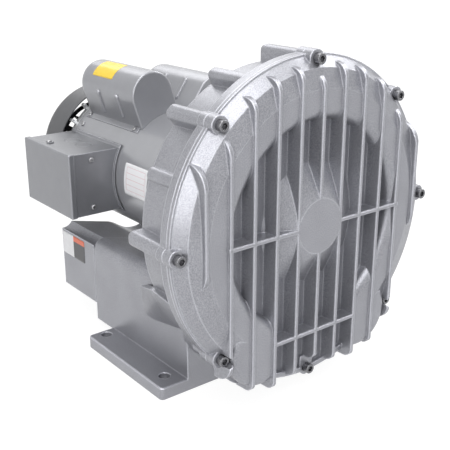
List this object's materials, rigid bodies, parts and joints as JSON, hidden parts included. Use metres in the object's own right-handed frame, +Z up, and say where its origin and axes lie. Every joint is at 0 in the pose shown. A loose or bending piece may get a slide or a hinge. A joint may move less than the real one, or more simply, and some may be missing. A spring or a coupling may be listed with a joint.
{
  "type": "side channel blower",
  "caption": "Side channel blower with a ribbed round cover, a fan-cooled motor carrying capacitor covers and a conduit box, and a muffler box on a bolted base.",
  "frame": {"origin": "centre of the four base bolt holes, on the plane that the base stands on", "axes": "+Z up, the shaft along Y with the front cover facing -Y, +X to the right seen from the front"},
  "size_m": [0.3746, 0.478, 0.3923],
  "materials": {
    "casting": "silver-grey paint, satin",
    "bare_aluminium": "machined",
    "motor_paint": "grey paint, satin",
    "fan_cover_paint": "dark grey paint, satin",
    "zinc": "zinc plated",
    "steel": "ground",
    "laminations": "varnished",
    "windings": "varnished",
    "bearing_steel": "polished",
    "cage": "natural nylon",
    "dark_plastic": "moulded",
    "can": "drawn",
    "rubber": "matt",
    "gasket": "matt sheet",
    "foam": "open-cell foam"
  },
  "bodies": {
    "blower": {"front_cover": "casting", "cover_screws": "zinc", "rear_housing": "casting", "muffler_gasket": "gasket", "muffler_extension": "casting", "extension_screws": "zinc", "muffler_foam": "foam", "muffler_tubes": "steel", "shaft_seal": "rubber", "motor_mount_bolts": "zinc", "drive_end_shield": "bare_aluminium", "motor_shell": "motor_paint", "rear_end_shield": "bare_aluminium", "through_bolts": "zinc", "shell_screws": "zinc", "stator_core": "laminations", "stator_windings": "windings", "drive_bearing_outer_ring": "bearing_steel", "fan_bearing_outer_ring": "bearing_steel", "wave_spring": "steel", "start_switch": "dark_plastic", "fan_cover": "fan_cover_paint", "fan_cover_screws": "zinc", "start_capacitor_cover": "motor_paint", "run_capacitor_cover": "motor_paint", "capacitor_cover_screws": "zinc", "start_capacitor": "dark_plastic", "run_capacitor": "can", "conduit_box": "motor_paint", "conduit_gasket": "gasket", "conduit_box_screws": "zinc", "conduit_cover": "motor_paint", "conduit_cover_screws": "zinc", "terminal_block": "dark_plastic"},
    "rotor": {"motor_shaft": "steel", "impeller": "bare_aluminium", "impeller_key": "steel", "retaining_ring": "steel", "shim_spacer": "steel", "drive_bearing_inner_ring": "bearing_steel", "fan_bearing_inner_ring": "bearing_steel", "rotor_core": "laminations", "governor_plate": "steel", "governor_pins": "steel", "cooling_fan": "dark_plastic"},
    "drive_ball_set": {"drive_bearing_balls": "bearing_steel", "drive_bearing_cage": "cage"},
    "fan_ball_set": {"fan_bearing_balls": "bearing_steel", "fan_bearing_cage": "cage"},
    "upper_weight": {"upper_governor_weight": "steel"},
    "lower_weight": {"lower_governor_weight": "steel"},
    "collar": {"switch_collar": "dark_plastic"}
  },
  "joints": [
    {"name": "rotor_spin", "type": "hinge", "parent": "blower", "child": "rotor", "pos_m": [0, 0, 0.205], "axis": [0, 1, 0], "continuous": true},
    {"name": "drive_balls_roll", "type": "hinge", "parent": "blower", "child": "drive_ball_set", "pos_m": [0, 0, 0.205], "axis": [0, 1, 0], "continuous": true},
    {"name": "fan_balls_roll", "type": "hinge", "parent": "blower", "child": "fan_ball_set", "pos_m": [0, 0, 0.205], "axis": [0, 1, 0], "continuous": true},
    {"name": "upper_weight_swing", "type": "hinge", "parent": "rotor", "child": "upper_weight", "pos_m": [0, 0.169, 0.231], "axis": [-1, 0, 0], "range_deg": [0, 18]},
    {"name": "lower_weight_swing", "type": "hinge", "parent": "rotor", "child": "lower_weight", "pos_m": [0, 0.169, 0.179], "axis": [1, 0, 0], "range_deg": [0, 18]},
    {"name": "collar_slide", "type": "slide", "parent": "rotor", "child": "collar", "axis": [0, -1, 0], "range_m": [0, 0.003], "stiffness_N_per_m": 300, "springref_m": -0.002}
  ],
  "couplings": [
    {"joint": "drive_balls_roll", "follows": "rotor_spin", "ratio": 0.397},
    {"joint": "fan_balls_roll", "follows": "rotor_spin", "ratio": 0.3816},
    {"joint": "upper_weight_swing", "follows": "collar_slide", "rad_per_m": 104.7},
    {"joint": "lower_weight_swing", "follows": "collar_slide", "rad_per_m": 104.7}
  ]
}
